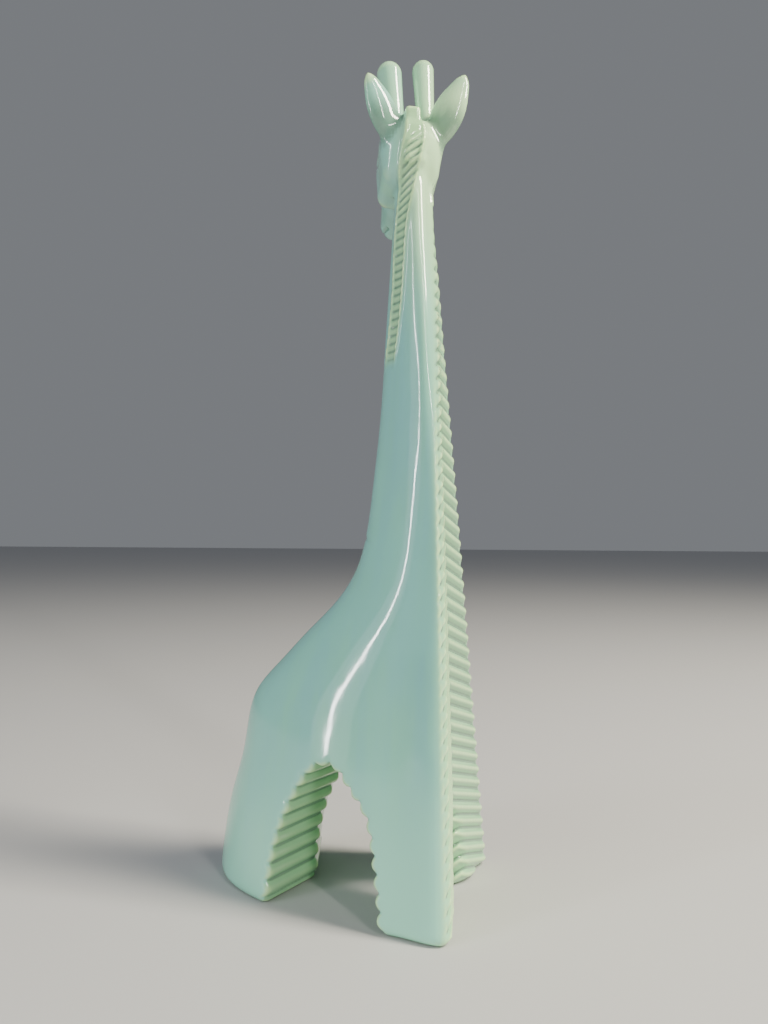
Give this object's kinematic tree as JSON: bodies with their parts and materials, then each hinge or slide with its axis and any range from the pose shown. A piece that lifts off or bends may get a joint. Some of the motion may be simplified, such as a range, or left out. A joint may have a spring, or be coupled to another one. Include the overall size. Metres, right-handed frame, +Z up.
{
  "type": "ceramic giraffe figure",
  "caption": "Standing giraffe figure in glossy pale green glazed ceramic, with ribbed chest, leg arches and mane, its head turned back over its left shoulder.",
  "frame": {"origin": "on the table, below the middle of the figure's bounding box", "axes": "+Z up, +X the way the body faces, +Y the giraffe's left"},
  "size_m": [0.1278, 0.0924, 0.4055],
  "materials": {
    "glaze": "gloss"
  },
  "bodies": {
    "root": {"body_casting": "glaze", "neck_casting": "glaze", "head_casting": "glaze", "ear_left": "glaze", "ear_right": "glaze", "horn_left": "glaze", "horn_right": "glaze"}
  },
  "joints": []
}
